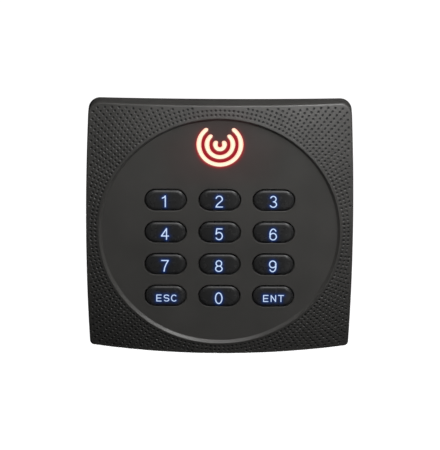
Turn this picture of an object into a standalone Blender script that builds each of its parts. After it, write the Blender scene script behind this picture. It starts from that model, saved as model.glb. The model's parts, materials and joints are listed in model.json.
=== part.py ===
"""Keypad access reader: a square wall reader with twelve backlit keys and a lit status symbol.

The frame is X to the right, Z up and the front towards -Y. The origin is the centre of the
wall plate's back face, so the wall is the plane y = 0. Sizes below are in millimetres, and
the functions that make meshes turn them into metres.
"""

import math

import bmesh
import bpy
from mathutils import Matrix, Vector

MM = 0.001
GAP = 0.3  # room between two pieces that touch on the real reader

# Front cover: a pillow outline under a spherical front with a round flat recess
HALF_WIDTH = 43.0
HALF_HEIGHT = 43.0
SIDE_BULGE = 0.8  # how much the left and right sides bow out at their middles
TOP_BULGE = 0.7
TOP_CORNER_R = 4.0
BOTTOM_CORNER_R = 1.4
DEPTH = 18.0  # from the wall to the lip of the round recess
DOME_R = 163.0
LIP_R = 38.8
RECESS_DEPTH = 0.9
RECESS_WALL = 0.7  # how far the recess wall leans inwards
PANEL_THICK = 1.8
SHELL = 2.2
RIDGE_R = 0.5
RIM_R = 237.0  # the rear rim follows a flatter sphere
RIM_DEPTH = 8.3  # the rear rim behind the lip, at the middle of a side
RIM_ROUND = 1.0  # how far the rim's outer edge is rounded

# Keys: four rows of three pills, each on a stem that ends in a carbon contact
KEY_NAMES = (("1", "2", "3"), ("4", "5", "6"), ("7", "8", "9"), ("esc", "0", "ent"))
KEY_PITCH_X = 17.4
KEY_PITCH_Z = 11.1
TOP_ROW_Z = 10.8
KEY_LENGTH = 13.0
KEY_HEIGHT = 6.8
KEY_SLIT = 0.3  # between a key and its opening
KEY_PROUD = 0.6
KEY_FLANGE = 0.8
STEM_LENGTH = 9.0
STEM_HEIGHT = 4.0
CONTACT_R = 1.7
CONTACT_THICK = 0.6

# Status light: three arcs, open at the top, on one light guide
LIGHT_Z = 29.6
ARC_RADII = (6.75, 4.15, 1.5)
ARC_OPENINGS = (41.0, 46.0, 60.0)  # degrees each side of straight up
ARC_WIDTH = 1.1
ARC_SLIT = 0.25
GUIDE_R = 9.0
GUIDE_TOP = 6.9  # above the middle of the arcs, where the guide is cut off
GUIDE_THICK = 1.4

# Keypad mat and board
MAT_THICK = 1.0
MAT_HALF_WIDTH = 25.2
MAT_TOP = 17.6
MAT_BOTTOM = -29.4
BOARD_HALF = 34.5
BOARD_CHAMFER = 10.0
BOARD_THICK = 1.6
BOARD_FRONT = -11.4
BOARD_POSTS = ((-28.2, 16.0), (28.2, 16.0), (-28.2, -20.0), (28.2, -20.0))
POST_R = 2.5
POST_HOLE_R = 1.1
POST_HOLE_FRONT = -14.8
BOARD_SCREW_HEAD = (1.9, 1.3)  # radius and thickness
BOARD_SCREW_TIP = -14.5
BOARD_SCREW_R = 0.8
COIL_HALF = 33.6
COIL_WIDTH = 2.6
COIL_CORNER_R = 16.0
COIL_THICK = 2.0
HEADER_PINS = 10
HEADER_PITCH = 1.5

# Back cover, seal and wall plate
PLATE_THICK = 1.6
PLATE_HALF = 38.0
TRAY_HALF = 38.8
TRAY_CORNER_R = 6.0
TRAY_WALL = 2.0
TRAY_EDGE = -10.6
SEAL_THICK = 0.7
SEAL_OUTER = 38.6
SEAL_INNER = 37.0
BOSS_AT = 32.0
BOSS_R = 3.2
BOSS_FRONT = -14.9
BOSS_END = -7.5
BOSS_HOLE_R = 1.5
BOSS_HOLE_FRONT = -13.4
PILLAR_R = 4.6
CASE_SCREW_HEAD = (2.7, 2.0)
CASE_SCREW_TIP = -13.0
CASE_SCREW_R = 1.2
CASE_SCREW_SINK = 2.6  # how deep the heads lie in the back cover
CABLE_Z = 16.0
CABLE_WIDTH = 20.0
CABLE_HEIGHT = 12.0
WALL_SCREW_X = 30.15  # half of the 60.3 mm between the screws of a wall box
SLOT_WIDTH = 5.0
SLOT_LENGTH = 9.0
POCKET_R = 5.5
POCKET_DEPTH = 3.4
CUP_WALL = 1.2
HOOK_X = 16.0
HOOK_HALF_WIDTH = 4.0
HOOK_FOOT = 32.0
HOOK_THICK = 1.6
HOOK_TIP = 35.8
HOOK_HOLE = (29.2, 34.0)  # from and up to this height
LOCK_Y = -4.5  # the locking screw's axis
LOCK_LIP_HALF_WIDTH = 7.0
LOCK_LIP_THICK = 1.5
LOCK_LIP_FRONT = -7.4
LOCK_BOSS_TOP = -31.5
INSERT_R = 1.8
INSERT_END = -33.0

PANEL_Y = -DEPTH + RECESS_DEPTH
PANEL_BACK = PANEL_Y + PANEL_THICK
FLANGE_FRONT = PANEL_BACK + GAP
FLANGE_BACK = FLANGE_FRONT + 1.0
STEM_END = FLANGE_BACK + 0.5
BOARD_BACK = BOARD_FRONT + BOARD_THICK
BEHIND_BOARD = BOARD_BACK + GAP
TRAY_BACK = -PLATE_THICK - GAP
TRAY_FLOOR = TRAY_BACK - TRAY_WALL


def start_scene():
    for old in list(bpy.data.objects):
        bpy.data.objects.remove(old)
    collections = {}
    for name in ("keypad_access_reader", "cutters"):
        collections[name] = bpy.data.collections.new(name)
        bpy.context.scene.collection.children.link(collections[name])
    return collections["keypad_access_reader"], collections["cutters"]


PARTS, CUTTERS = start_scene()


def material(name, colour, roughness, metallic=0.0):
    new = bpy.data.materials.new(name)
    new.use_nodes = True
    shader = new.node_tree.nodes["Principled BSDF"]
    shader.inputs["Base Color"].default_value = (*colour, 1.0)
    shader.inputs["Roughness"].default_value = roughness
    shader.inputs["Metallic"].default_value = metallic
    return new


# Mesh makers -------------------------------------------------------------------


def add(name, mesh, matrix=None, finish=None):
    """Puts a mesh in the scene: a part if it has a finish, and a cutter if it has none."""
    made = bpy.data.objects.new(name, mesh)
    made.matrix_world = matrix or Matrix.Identity(4)
    if finish:
        mesh.materials.clear()
        mesh.materials.append(material(name, *finish))
        PARTS.objects.link(made)
    else:
        made.hide_render = True
        made.display_type = "WIRE"
        CUTTERS.objects.link(made)
    return made


def to_mesh(name, build):
    """A mesh from the bmesh that build fills in, with its faces pointing outwards."""
    work = bmesh.new()
    build(work)
    bmesh.ops.recalc_face_normals(work, faces=work.faces)
    mesh = bpy.data.meshes.new(name)
    work.to_mesh(mesh)
    work.free()
    return mesh


def box(name, low, high, finish=None):
    """A box between two corners."""
    low, high = Vector(low) * MM, Vector(high) * MM
    size = Matrix.Diagonal((*(high - low), 1.0))
    place = Matrix.Translation((low + high) / 2) @ size
    mesh = to_mesh(name, lambda work: bmesh.ops.create_cube(work, size=1.0, matrix=place))
    return add(name, mesh, finish=finish)


def add_rod(work, start, end, radius, segments):
    """Adds one cylinder between two points to a bmesh."""
    start, end = Vector(start) * MM, Vector(end) * MM
    along = end - start
    turn = along.to_track_quat("Z", "Y").to_matrix().to_4x4()
    place = Matrix.Translation((start + end) / 2) @ turn
    bmesh.ops.create_cone(
        work,
        cap_ends=True,
        segments=segments,
        radius1=radius * MM,
        radius2=radius * MM,
        depth=along.length,
        matrix=place,
    )


def rods(name, ends, radius, segments=16, finish=None):
    """One cylinder, or a group of equal ones, each between two points."""

    def build(work):
        for start, end in ends:
            add_rod(work, start, end, radius, segments)

    return add(name, to_mesh(name, build), finish=finish)


def slab(name, outlines, front, back, finish=None):
    """A flat piece between two depths. Its outlines are points in X and Z, holes included."""
    curve = bpy.data.curves.new(name, "CURVE")
    curve.dimensions = "2D"
    curve.fill_mode = "BOTH"
    curve.extrude = (back - front) / 2 * MM
    for outline in outlines:
        spline = curve.splines.new("POLY")
        spline.points.add(len(outline) - 1)
        for point, (x, z) in zip(spline.points, outline):
            point.co = (x * MM, z * MM, 0.0, 1.0)
        spline.use_cyclic_u = True
    flat = bpy.data.objects.new(name + "_outline", curve)
    flat.matrix_world = Matrix.Translation((0, (front + back) / 2 * MM, 0)) @ Matrix.Rotation(
        math.radians(90), 4, "X"
    )
    PARTS.objects.link(flat)
    bpy.context.view_layer.update()
    found = flat.evaluated_get(bpy.context.evaluated_depsgraph_get())
    loose = bpy.data.meshes.new_from_object(found)

    def build(work):
        work.from_mesh(loose)
        bmesh.ops.remove_doubles(work, verts=work.verts, dist=0.00001)

    made = add(name, to_mesh(name, build), flat.matrix_world.copy(), finish)
    bpy.data.objects.remove(flat)
    return made


def loft(name, loops, at=(0, 0, 0), finish=None, ring=False):
    """A body through loops of equal length: a ring, or its first and last loops filled in."""
    origin = Vector(at)

    def build(work):
        rings = [[work.verts.new((Vector(p) - origin) * MM) for p in loop] for loop in loops]
        count = len(rings[0])
        pairs = list(zip(rings, rings[1:]))
        if ring:
            pairs.append((rings[-1], rings[0]))
        else:
            work.faces.new(rings[0])
            work.faces.new(rings[-1])
        for near, far in pairs:
            for i in range(count):
                j = (i + 1) % count
                work.faces.new((near[i], near[j], far[j], far[i]))

    return add(name, to_mesh(name, build), Matrix.Translation(origin * MM), finish)


def combine(target, tool, operation):
    """Cuts the tool out of the target, or joins it to the target."""
    step = target.modifiers.new(tool.name, "BOOLEAN")
    step.operation = operation
    step.solver = "EXACT"
    step.object = tool


def cut(target, *tools):
    for tool in tools:
        combine(target, tool, "DIFFERENCE")


def join(target, *tools):
    for tool in tools:
        combine(target, tool, "UNION")


def round_edges(target, width, segments=1):
    """Bevels the sharp edges of a piece."""
    step = target.modifiers.new("rounded_edges", "BEVEL")
    step.width = width * MM
    step.segments = segments
    step.limit_method = "ANGLE"
    step.angle_limit = math.radians(50)


# Outlines in X and Z -----------------------------------------------------------


def arc(centre, radius, start, end, steps):
    """Points on an arc, in degrees counted from +X towards +Z."""
    points = []
    for i in range(steps + 1):
        angle = math.radians(start + (end - start) * i / steps)
        x = centre[0] + radius * math.cos(angle)
        z = centre[1] + radius * math.sin(angle)
        points.append((x, z))
    return points


def circle(centre, radius, steps=24):
    return arc(centre, radius, 0, 360, steps)[:-1]


def rounded_box(half_width, half_height, radius, centre=(0, 0), steps=4):
    points = []
    for quarter, (sx, sz) in enumerate(((1, 1), (-1, 1), (-1, -1), (1, -1))):
        middle = (
            centre[0] + sx * (half_width - radius),
            centre[1] + sz * (half_height - radius),
        )
        points += arc(middle, radius, 90 * quarter, 90 * quarter + 90, steps)
    return points


def pill(length, height, centre=(0, 0), steps=6):
    """An outline with straight long sides and round ends."""
    straight = (length - height) / 2
    right = (centre[0] + straight, centre[1])
    left = (centre[0] - straight, centre[1])
    return arc(right, height / 2, -90, 90, steps) + arc(left, height / 2, 90, 270, steps)


def open_ring(radius, width, opening, steps):
    """An arc of the status light with round ends, open at the top."""
    centre = (0, LIGHT_Z)
    start, end = 90 + opening, 450 - opening
    points = arc(centre, radius + width / 2, start, end, steps)
    for angle, turn in ((end, 0), (start, 180)):
        tip = arc(centre, radius, angle, angle, 1)[0]
        points += arc(tip, width / 2, angle + turn, angle + turn + 180, 4)[1:-1]
        if turn == 0:
            points += arc(centre, radius - width / 2, end, start, steps)
    return points


# Front cover -------------------------------------------------------------------


def cover_quarter(radius, steps, corner_steps):
    """The outline from the middle of the right side to the middle of the top."""
    middle = (HALF_WIDTH - SIDE_BULGE - radius, HALF_HEIGHT - TOP_BULGE - radius)
    shares = [i / steps for i in range(steps + 1)]
    right = [(HALF_WIDTH - SIDE_BULGE * u**2, middle[1] * u) for u in shares]
    top = [(middle[0] * u, HALF_HEIGHT - TOP_BULGE * u**2) for u in reversed(shares)]
    corner = arc(middle, radius, 0, 90, corner_steps)
    return right[:-1] + corner + top[1:]


def cover_outline(steps=7, corner_steps=4):
    """The whole pillow outline, anticlockwise from the middle of the right side."""
    points = []
    for turn_x, turn_z in ((1, 1), (-1, 1), (-1, -1), (1, -1)):
        radius = TOP_CORNER_R if turn_z > 0 else BOTTOM_CORNER_R
        quarter = cover_quarter(radius, steps, corner_steps)
        mirrored = [(x * turn_x, z * turn_z) for x, z in quarter]
        if turn_x != turn_z:
            mirrored.reverse()
        points += mirrored[:-1]
    return [Vector(p) for p in points]


def sphere_drop(radius, ball, level_radius):
    """How far a ball's surface lies behind the level it has at level_radius."""
    return math.sqrt(ball**2 - level_radius**2) - math.sqrt(ball**2 - radius**2)


def dome_y(x, z):
    return -DEPTH + sphere_drop(math.hypot(x, z), DOME_R, LIP_R)


def rim_y(x, z):
    return -DEPTH + RIM_DEPTH + sphere_drop(math.hypot(x, z), RIM_R, HALF_WIDTH)


def inset(outline, distance):
    """The outline moved inwards, each point towards the centre of the part."""
    return [p - p.normalized() * distance * (p.length / max(abs(p.x), abs(p.y))) for p in outline]


def at_depth(outline, depth):
    """Gives an outline its depths, from a function of X and Z or one value."""
    if callable(depth):
        return [(p.x, depth(p.x, p.y), p.y) for p in outline]
    return [(p.x, depth, p.y) for p in outline]


def between(inner, outer, share):
    return [a.lerp(b, share) for a, b in zip(inner, outer)]


def cover_loops():
    outline = cover_outline()
    lip = [p.normalized() * LIP_R for p in outline]
    floor = [p.normalized() * (LIP_R - RECESS_WALL) for p in outline]
    ridge = inset(outline, RIDGE_R)
    halfway = inset(outline, RIDGE_R * 0.3)
    rim_edge = inset(outline, RIM_ROUND * 0.3)
    rim = inset(outline, RIM_ROUND)
    inside = inset(outline, SHELL)
    inner_edge = [p.normalized() * (LIP_R - RECESS_WALL - 1.0) for p in outline]
    return [
        at_depth(floor, PANEL_Y),
        at_depth(lip, -DEPTH),
        at_depth(between(lip, ridge, 0.5), dome_y),
        at_depth(ridge, dome_y),
        at_depth(halfway, lambda x, z: dome_y(x, z) + RIDGE_R * 0.2),
        at_depth(outline, lambda x, z: dome_y(x, z) + RIDGE_R),
        at_depth(outline, lambda x, z: rim_y(x, z) - RIM_ROUND),
        at_depth(rim_edge, lambda x, z: rim_y(x, z) - RIM_ROUND * 0.3),
        at_depth(rim, rim_y),
        at_depth(inside, rim_y),
        at_depth(inside, lambda x, z: dome_y(x, z) + SHELL),
        at_depth(between(inner_edge, inside, 0.5), lambda x, z: dome_y(x, z) + SHELL + 0.2),
        at_depth(inner_edge, PANEL_BACK),
    ]


def key_places():
    """Each key's name and the centre of its cap."""
    places = []
    for row, names in enumerate(KEY_NAMES):
        for column, name in enumerate(names):
            places.append((name, ((column - 1) * KEY_PITCH_X, TOP_ROW_Z - row * KEY_PITCH_Z)))
    return places


def corners():
    """The four case screws' places."""
    return [(x, z) for x in (-BOSS_AT, BOSS_AT) for z in (-BOSS_AT, BOSS_AT)]


def along_y(places, front, back):
    """The two ends of a rod along Y at each place."""
    return [((x, front, z), (x, back, z)) for x, z in places]


def seal_outlines():
    """The outer and inner edges of the rib on the cover and of the seal under it."""
    outer = rounded_box(SEAL_OUTER, SEAL_OUTER, TRAY_CORNER_R)
    inner = rounded_box(SEAL_INNER, SEAL_INNER, TRAY_CORNER_R + SEAL_INNER - SEAL_OUTER)
    return [Vector(p) for p in outer], [Vector(p) for p in inner]


def make_sealing_rib():
    """The square wall inside the cover that presses on the seal."""

    def root(x, z):
        return max(dome_y(x, z) + SHELL / 2, PANEL_BACK - PANEL_THICK / 2)

    outer, inner = seal_outlines()
    end = TRAY_EDGE - SEAL_THICK - 2 * GAP
    loops = [
        at_depth(outer, root),
        at_depth(outer, end),
        at_depth(inner, end),
        at_depth(inner, root),
    ]
    return loft("sealing_rib", loops, ring=True)


def make_front_cover():
    """The outer shell, with the key openings, the status light's slits and its inner posts."""
    finish = ((0.022, 0.022, 0.021), 0.5)
    cover = loft("front_cover", cover_loops(), finish=finish)
    rib = make_sealing_rib()
    bosses = rods("cover_bosses", along_y(corners(), BOSS_FRONT, BOSS_END), BOSS_R)
    post_ends = along_y(BOARD_POSTS, PANEL_BACK - 0.5, BOARD_FRONT - GAP)
    posts = rods("board_posts", post_ends, POST_R, 12)
    join(cover, rib, bosses, posts)
    boss_ends = along_y(corners(), BOSS_HOLE_FRONT, BOSS_END + 1)
    boss_holes = rods("boss_holes", boss_ends, BOSS_HOLE_R, 12)
    hole_ends = along_y(BOARD_POSTS, POST_HOLE_FRONT, BOARD_FRONT + 1)
    post_holes = rods("post_holes", hole_ends, POST_HOLE_R, 8)
    cut(cover, boss_holes, post_holes)
    opening = (KEY_LENGTH + 2 * KEY_SLIT, KEY_HEIGHT + 2 * KEY_SLIT)
    for name, place in key_places():
        hole = slab(f"key_{name}_opening", [pill(*opening, place)], -DEPTH - 1, PANEL_BACK + 1)
        cut(cover, hole)
    for i, (radius, opening) in enumerate(zip(ARC_RADII, ARC_OPENINGS)):
        outline = open_ring(radius, ARC_WIDTH + 2 * ARC_SLIT, opening, 18 - 4 * i)
        cut(cover, slab(f"light_slit_{i}", [outline], -DEPTH - 1, PANEL_BACK + 1))


# Keypad ------------------------------------------------------------------------


def key_loops(place):
    """A pill with a rounded crown, a flange behind the cover and a stem."""
    crown = PANEL_Y - KEY_PROUD
    wide, tall = KEY_LENGTH, KEY_HEIGHT
    sections = (
        (wide - 6.2, tall - 6.2, crown - 0.12),
        (wide - 2.5, tall - 2.5, crown - 0.03),
        (wide - 1.0, tall - 1.0, crown + 0.11),
        (wide - 0.3, tall - 0.3, crown + 0.31),
        (wide, tall, PANEL_Y),
        (wide, tall, FLANGE_FRONT),
        (wide + 2 * KEY_FLANGE, tall + 2 * KEY_FLANGE, FLANGE_FRONT),
        (wide + 2 * KEY_FLANGE, tall + 2 * KEY_FLANGE, FLANGE_BACK),
        (STEM_LENGTH, STEM_HEIGHT, FLANGE_BACK),
        (STEM_LENGTH, STEM_HEIGHT, STEM_END),
    )
    return [
        [(x, y, z) for x, z in pill(length, height, place)] for length, height, y in sections
    ]


def make_keys():
    """Twelve caps and the carbon contact under each, both placed on their own press axis."""
    for name, (x, z) in key_places():
        axis_point = (x, PANEL_Y, z)
        cap_finish = ((0.014, 0.014, 0.016), 0.38)
        cap = loft(f"key_{name}", key_loops((x, z)), axis_point, cap_finish)
        front = STEM_END + GAP - PANEL_Y
        ends = along_y([(0, 0)], front, front + CONTACT_THICK)
        contact = rods(f"contact_{name}", ends, CONTACT_R, 12, ((0.02, 0.02, 0.02), 0.8))
        contact.parent = cap


def make_keypad_mat():
    """The silicone sheet between the keys and the board, open around each stem."""
    middle = (MAT_TOP + MAT_BOTTOM) / 2
    half = (MAT_TOP - MAT_BOTTOM) / 2
    outlines = [rounded_box(MAT_HALF_WIDTH, half, 2.0, (0, middle), 3)]
    opening = (STEM_LENGTH + 1.2, STEM_HEIGHT + 1.2)
    outlines += [pill(*opening, place, 4) for name, place in key_places()]
    outlines += [rounded_box(1.2, 0.8, 0.3, place, 1) for place in backlight_places()]
    back = BOARD_FRONT - GAP
    slab("keypad_mat", outlines, back - MAT_THICK, back, ((0.5, 0.52, 0.53), 0.6))


# Status light ------------------------------------------------------------------


def make_light_guide():
    """A clear plate behind the panel whose three raised arcs fill the slits."""
    front = PANEL_BACK + GAP
    outline = [p for p in circle((0, LIGHT_Z), GUIDE_R, 36) if p[1] < LIGHT_Z + GUIDE_TOP]
    finish = ((0.8, 0.1, 0.08), 0.2)
    guide = slab("status_light_guide", [outline], front, front + GUIDE_THICK, finish)
    for i, (radius, opening) in enumerate(zip(ARC_RADII, ARC_OPENINGS)):
        raised = open_ring(radius, ARC_WIDTH, opening, 18 - 4 * i)
        join(guide, slab(f"guide_arc_{i}", [raised], PANEL_Y + 0.02, front + 0.5))


def led(name, x, z):
    """One small surface-mounted light on the front of the board."""
    back = BOARD_FRONT - GAP
    low = (x - 0.8, back - 0.7, z - 0.4)
    high = (x + 0.8, back, z + 0.4)
    box(name, low, high, ((0.9, 0.85, 0.7), 0.3))


def backlight_places():
    """Each one sits where four keys meet."""
    columns = (-KEY_PITCH_X / 2, KEY_PITCH_X / 2)
    rows = (TOP_ROW_Z - KEY_PITCH_Z * 0.5, TOP_ROW_Z - KEY_PITCH_Z * 2.5)
    return [(x, z) for z in rows for x in columns]


def make_leds():
    """Three red lights behind the guide, and the four blue ones that light the keys."""
    for side, x in (("left", -4.2), ("middle", 0.0), ("right", 4.2)):
        led(f"status_led_{side}", x, LIGHT_Z - 1.5)
    for i, (x, z) in enumerate(backlight_places(), 1):
        led(f"backlight_led_{i}", x, z)


# Board and what is on it -------------------------------------------------------


def make_board():
    half = BOARD_HALF
    short = BOARD_HALF - BOARD_CHAMFER
    outline = []
    for sx, sz in ((1, 1), (-1, 1), (-1, -1), (1, -1)):
        pair = [(sx * half, sz * short), (sx * short, sz * half)]
        outline += pair if sx == sz else pair[::-1]
    holes = [circle(place, POST_HOLE_R, 8) for place in BOARD_POSTS]
    slab("circuit_board", [outline, *holes], BOARD_FRONT, BOARD_BACK, ((0.01, 0.12, 0.05), 0.4))


def screw(name, middle, head_front, head, tip, shank_r):
    """A screw along Y: its head's front depth, (radius, thickness), tip depth and shank radius."""
    x, z = middle
    head_r, head_thick = head
    steel = ((0.6, 0.6, 0.6), 0.3, 1.0)
    ends = [((x, head_front, z), (x, head_front + head_thick, z))]
    made = rods(name, ends, head_r, 12, steel)
    shank = [((x, tip, z), (x, head_front + 0.5, z))]
    join(made, rods(name + "_shank", shank, shank_r, 8))


def make_board_screws():
    """Four self-tapping screws that hold the board on the front cover's posts."""
    for i, place in enumerate(BOARD_POSTS, 1):
        name = f"board_screw_{i}"
        screw(name, place, BEHIND_BOARD, BOARD_SCREW_HEAD, BOARD_SCREW_TIP, BOARD_SCREW_R)


def make_coil():
    """The reader's flat wound antenna, round the back of the board."""
    outer = rounded_box(COIL_HALF, COIL_HALF, COIL_CORNER_R, steps=6)
    half = COIL_HALF - COIL_WIDTH
    inner = rounded_box(half, half, COIL_CORNER_R - COIL_WIDTH, steps=6)
    copper = ((0.5, 0.2, 0.07), 0.4, 0.8)
    slab("antenna_coil", [outer, inner], BEHIND_BOARD, BEHIND_BOARD + COIL_THICK, copper)


def make_chips():
    dark = ((0.02, 0.02, 0.02), 0.5)
    front = BEHIND_BOARD
    for name, x, z, wide, tall, thick in (
        ("controller_chip", -8.0, -4.0, 10.0, 10.0, 1.5),
        ("reader_chip", 11.0, 2.0, 10.0, 7.5, 2.3),
        ("voltage_regulator", -20.0, 9.0, 6.5, 6.0, 2.3),
        ("output_driver", -8.0, -20.0, 10.0, 4.0, 1.6),
    ):
        low = (x - wide / 2, front, z - tall / 2)
        high = (x + wide / 2, front + thick, z + tall / 2)
        round_edges(box(name, low, high, dark), 0.3)


def make_crystal():
    """The clock crystal's long tin can."""
    outline = pill(11.0, 4.6, (10.5, -8.0), 4)
    tin = ((0.7, 0.7, 0.7), 0.25, 1.0)
    can = slab("clock_crystal", [outline], BEHIND_BOARD, BEHIND_BOARD + 3.5, tin)
    round_edges(can, 0.3)


def make_capacitors():
    """Two smoothing capacitors standing on the board."""
    for i, z in enumerate((-5.0, -13.0), 1):
        ends = along_y([(-21.0, z)], BEHIND_BOARD, BEHIND_BOARD + 5.2)
        can = rods(f"filter_capacitor_{i}", ends, 3.15, 16, ((0.7, 0.7, 0.72), 0.3, 0.9))
        round_edges(can, 0.3)


def make_buzzer():
    """The round sounder, with its sound hole facing the wall."""
    place = [(17.0, -19.0)]
    back = BEHIND_BOARD + 5.2
    ends = along_y(place, BEHIND_BOARD, back)
    buzzer = rods("buzzer", ends, 6.0, 24, ((0.02, 0.02, 0.02), 0.5))
    cut(buzzer, rods("sound_hole", along_y(place, back - 1.2, back + 1), 1.0, 12))


def make_cable_header():
    """Ten pins in a strip, reached through the wall plate's cable window."""
    base_back = BEHIND_BOARD + 2.5
    half = HEADER_PINS * HEADER_PITCH / 2
    low = (-half, BEHIND_BOARD, CABLE_Z - 2.0)
    high = (half, base_back, CABLE_Z + 2.0)
    header = box("cable_header", low, high, ((0.75, 0.73, 0.68), 0.5))
    for i in range(HEADER_PINS):
        x = (i + 0.5) * HEADER_PITCH - half
        low = (x - 0.3, base_back - 0.5, CABLE_Z - 0.3)
        high = (x + 0.3, base_back + 2.6, CABLE_Z + 0.3)
        join(header, box(f"header_pin_{i}", low, high))


# Back cover, seal and screws ---------------------------------------------------


def make_back_cover():
    """The rear tray: corner pillars, screw head pockets, cable window and lock boss."""
    outer = rounded_box(TRAY_HALF, TRAY_HALF, TRAY_CORNER_R)
    inner_half = TRAY_HALF - TRAY_WALL
    inner = rounded_box(inner_half, inner_half, TRAY_CORNER_R - TRAY_WALL)
    tray = slab("back_cover", [outer], TRAY_EDGE, TRAY_BACK, ((0.02, 0.02, 0.02), 0.55))
    cut(tray, slab("tray_hollow", [inner], TRAY_EDGE - 2, TRAY_FLOOR))
    inside = TRAY_FLOOR + 1
    pillars = rods("tray_pillars", along_y(corners(), BOSS_END + GAP, inside), PILLAR_R)
    pocket_front = TRAY_BACK - POCKET_DEPTH
    seats = [(-WALL_SCREW_X, 0), (WALL_SCREW_X, 0)]
    cup_ends = along_y(seats, pocket_front - CUP_WALL, inside)
    cups = rods("screw_cups", cup_ends, POCKET_R + CUP_WALL, 20)
    boss_low = (-4.5, LOCK_Y - 2.7, -inner_half - 1)
    boss = box("lock_boss", boss_low, (4.5, inside, LOCK_BOSS_TOP))
    join(tray, pillars, cups, boss)
    pockets = rods("screw_pockets", along_y(seats, pocket_front, TRAY_BACK + 1), POCKET_R, 20)
    cut(tray, pockets)
    cut_tray_holes(tray)


def cut_tray_holes(tray):
    """The holes for the cable, the plate's hooks, the case screws and the lock."""
    front, back = TRAY_FLOOR - 1, TRAY_BACK + 1
    opening = rounded_box(CABLE_WIDTH / 2, CABLE_HEIGHT / 2, 2.0, (0, CABLE_Z), 3)
    cut(tray, slab("tray_window", [opening], front, back))
    for x in (-HOOK_X, HOOK_X):
        low = (x - HOOK_HALF_WIDTH - 0.5, front, HOOK_HOLE[0])
        high = (x + HOOK_HALF_WIDTH + 0.5, back, HOOK_HOLE[1])
        cut(tray, box("hook_hole", low, high))
    cut(tray, rods("case_screw_holes", along_y(corners(), BOSS_END - 1, back), BOSS_HOLE_R, 12))
    sink_ends = along_y(corners(), TRAY_BACK - CASE_SCREW_SINK, back)
    cut(tray, rods("case_screw_sinks", sink_ends, CASE_SCREW_HEAD[0] + 0.4))
    lock_ends = [((0, LOCK_Y, -TRAY_HALF - 1), (0, LOCK_Y, LOCK_BOSS_TOP + 1))]
    cut(tray, rods("lock_hole", lock_ends, INSERT_R + GAP, 12))


def make_case_seal():
    """The soft ring between the tray's edge and the front cover's rib."""
    back = TRAY_EDGE - GAP
    rubber = ((0.03, 0.03, 0.03), 0.8)
    slab("case_seal", seal_outlines(), back - SEAL_THICK, back, rubber)


def make_case_screws():
    """Four screws from the back cover into the front cover's posts."""
    head_front = TRAY_BACK - CASE_SCREW_SINK + GAP
    for i, place in enumerate(corners(), 1):
        name = f"case_screw_{i}"
        screw(name, place, head_front, CASE_SCREW_HEAD, CASE_SCREW_TIP, CASE_SCREW_R)


def make_cable_grommet():
    """The rubber frame that lines the tray's cable window."""
    outer = (CABLE_WIDTH / 2 - GAP, CABLE_HEIGHT / 2 - GAP)
    outline = rounded_box(*outer, 2.0 - GAP, (0, CABLE_Z), 3)
    opening = rounded_box(outer[0] - 1.5, outer[1] - 1.5, 1.0, (0, CABLE_Z), 3)
    slab("cable_grommet", [outline, opening], TRAY_FLOOR, TRAY_BACK, ((0.03, 0.03, 0.03), 0.8))


def make_wall_plate():
    """The steel plate on the wall: screw slots, cable window, two hooks and a lock lip."""
    slots = [
        [(x, z) for z, x in pill(SLOT_LENGTH, SLOT_WIDTH, (0, side))]
        for side in (-WALL_SCREW_X, WALL_SCREW_X)
    ]
    window = rounded_box(CABLE_WIDTH / 2 + 1, CABLE_HEIGHT / 2 + 1, 2.0, (0, CABLE_Z), 3)
    outline = rounded_box(PLATE_HALF, PLATE_HALF, 5.0)
    finish = ((0.55, 0.56, 0.57), 0.35, 1.0)
    plate = slab("wall_plate", [outline, window, *slots], -PLATE_THICK, 0, finish)
    join_hooks(plate)
    join_lock_lip(plate)


def join_hooks(plate):
    """Two hooks that reach through the tray's holes and up behind its floor."""
    root = -PLATE_THICK / 2
    lip_back = TRAY_FLOOR - GAP
    for x in (-HOOK_X, HOOK_X):
        low, high = x - HOOK_HALF_WIDTH, x + HOOK_HALF_WIDTH
        neck_low = (low, lip_back - 1.0, HOOK_FOOT)
        neck = box("hook_neck", neck_low, (high, root, HOOK_FOOT + HOOK_THICK))
        lip = box("hook_lip", (low, lip_back - 1.4, HOOK_FOOT), (high, lip_back, HOOK_TIP))
        join(plate, neck, lip)


def join_lock_lip(plate):
    """The lip under the reader, with the locking screw's hole."""
    low = -TRAY_HALF - GAP - LOCK_LIP_THICK
    high = low + LOCK_LIP_THICK
    half = LOCK_LIP_HALF_WIDTH
    lip = box("lock_lip", (-half, LOCK_LIP_FRONT, low), (half, -PLATE_THICK / 2, high))
    tongue = box("lock_tongue", (-half, -PLATE_THICK, low), (half, 0, -PLATE_HALF + 2))
    join(plate, tongue, lip)
    cut(plate, rods("lock_lip_hole", [((0, LOCK_Y, low - 1), (0, LOCK_Y, high + 1))], 1.6, 12))


def make_lock():
    """The bottom screw that keeps the reader on its plate, and its brass insert."""
    brass = ((0.6, 0.45, 0.15), 0.3, 1.0)
    ends = [((0, LOCK_Y, -TRAY_HALF + GAP), (0, LOCK_Y, INSERT_END))]
    insert = rods("threaded_insert", ends, INSERT_R, 12, brass)
    bore = [((0, LOCK_Y, -TRAY_HALF - 1), (0, LOCK_Y, INSERT_END + 1))]
    cut(insert, rods("insert_bore", bore, INSERT_R - 0.45, 12))
    head_top = -TRAY_HALF - 2 * GAP - LOCK_LIP_THICK
    head = [((0, LOCK_Y, head_top - 1.6), (0, LOCK_Y, head_top))]
    shank = [((0, LOCK_Y, head_top - 0.5), (0, LOCK_Y, INSERT_END - 1))]
    steel = ((0.6, 0.6, 0.6), 0.3, 1.0)
    join(rods("locking_screw", head, 2.3, 16, steel), rods("lock_shank", shank, 1.0, 8))


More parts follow.
